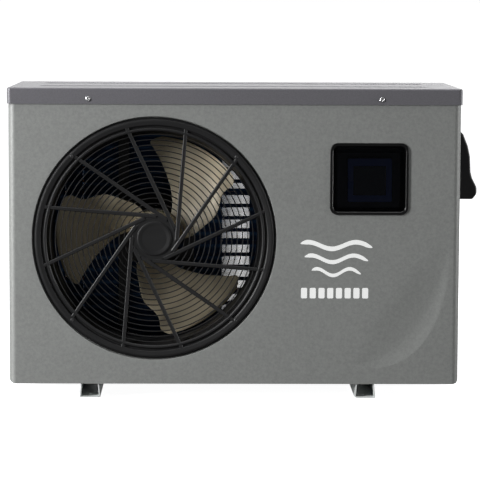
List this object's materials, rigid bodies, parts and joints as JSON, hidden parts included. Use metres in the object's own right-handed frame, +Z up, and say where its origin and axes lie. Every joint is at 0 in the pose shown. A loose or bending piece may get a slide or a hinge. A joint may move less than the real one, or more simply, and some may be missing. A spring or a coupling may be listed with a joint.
{
  "type": "heat pump unit",
  "caption": "Air-source pool heat pump in a low sheet-metal case, with a round front fan grille, covered display recess, side cable hood and rear water unions.",
  "frame": {"origin": "on the floor, under the middle of the whole footprint, pipe unions and cable hood included", "axes": "+X along the case towards the cable hood, +Y from the fan grille towards the pipe unions, +Z up"},
  "size_m": [0.9172, 0.4286, 0.6035],
  "materials": {
    "case_paint": "silver-grey textured powder coat",
    "cover_paint": "darker warm grey powder coat",
    "galvanised_steel": "galvanised sheet",
    "foot_paint": "black powder coat",
    "black_plastic": "matte moulded",
    "gloss_black": "polished",
    "screen": "liquid crystal behind clear glass",
    "smoked_cover": "smoked clear polycarbonate",
    "blade_plastic": "off-white translucent moulding",
    "zinc_plate": "bright zinc plate",
    "black_steel": "black enamel",
    "blue_fins": "blue water-shedding coat on thin sheet",
    "fin_aluminium": "plain rolled",
    "copper": "drawn copper tube",
    "valve_brass": "machined",
    "rubber": "plain",
    "grey_plastic": "moulded",
    "titanium": "drawn titanium tube"
  },
  "bodies": {
    "root": {"front_panel": "case_paint", "right_side_panel": "case_paint", "rear_panel": "case_paint", "rear_coil_guard": "case_paint", "side_coil_guard": "case_paint", "top_cover": "cover_paint", "base_pan": "galvanised_steel", "partition_plate": "galvanised_steel", "inverter_box": "galvanised_steel", "coil_end_plate": "galvanised_steel", "foot_left": "foot_paint", "foot_right": "foot_paint", "fan_grille": "black_plastic", "fan_duct": "black_plastic", "side_hood": "black_plastic", "power_gland": "black_plastic", "signal_gland": "black_plastic", "drain_nozzle": "black_plastic", "terminal_cover": "black_plastic", "flow_switch": "black_plastic", "terminal_block": "black_plastic", "control_bezel": "gloss_black", "display_module": "gloss_black", "display_screen": "screen", "lid_screw_left": "zinc_plate", "lid_screw_right": "zinc_plate", "grille_screw_1": "black_steel", "grille_screw_2": "black_steel", "grille_screw_3": "black_steel", "grille_screw_4": "black_steel", "fan_motor": "black_steel", "motor_bracket": "black_steel", "compressor": "black_steel", "accumulator": "black_steel", "evaporator_fins": "blue_fins", "heat_sink": "fin_aluminium", "discharge_pipe": "copper", "suction_pipe": "copper", "accumulator_outlet_pipe": "copper", "evaporator_gas_pipe": "copper", "condenser_gas_pipe": "copper", "distributor_pipe": "copper", "four_way_valve": "valve_brass", "expansion_valve": "valve_brass", "compressor_grommet_1": "rubber", "compressor_grommet_2": "rubber", "compressor_grommet_3": "rubber", "inlet_seal": "rubber", "outlet_seal": "rubber", "exchanger_tank": "grey_plastic", "inlet_tailpiece": "grey_plastic", "outlet_tailpiece": "grey_plastic", "exchanger_coil": "titanium"},
    "fan": {"fan_impeller": "blade_plastic", "fan_nut": "zinc_plate", "fan_shaft": "zinc_plate"},
    "display_cover": {"display_cover": "smoked_cover"},
    "inlet_nut": {"inlet_union_nut": "grey_plastic"},
    "outlet_nut": {"outlet_union_nut": "grey_plastic"},
    "flow_paddle": {"flow_paddle": "zinc_plate"}
  },
  "joints": [
    {"name": "fan_spin", "type": "hinge", "parent": "root", "child": "fan", "pos_m": [-0.17421, -0.1417, 0.3118], "axis": [0, 1, 0], "continuous": true},
    {"name": "display_cover_hinge", "type": "hinge", "parent": "root", "child": "display_cover", "pos_m": [0.24209, -0.2071, 0.4819], "axis": [-1, 0, 0], "range_deg": [0, 95]},
    {"name": "inlet_nut_spin", "type": "hinge", "parent": "root", "child": "inlet_nut", "pos_m": [0.33139, 0.1663, 0.12], "axis": [0, 1, 0], "continuous": true},
    {"name": "outlet_nut_spin", "type": "hinge", "parent": "root", "child": "outlet_nut", "pos_m": [0.33139, 0.1663, 0.43], "axis": [0, 1, 0], "continuous": true},
    {"name": "flow_paddle_swing", "type": "hinge", "parent": "root", "child": "flow_paddle", "pos_m": [0.33139, 0.1288, 0.138], "axis": [-1, 0, 0], "range_deg": [0, 25]}
  ]
}
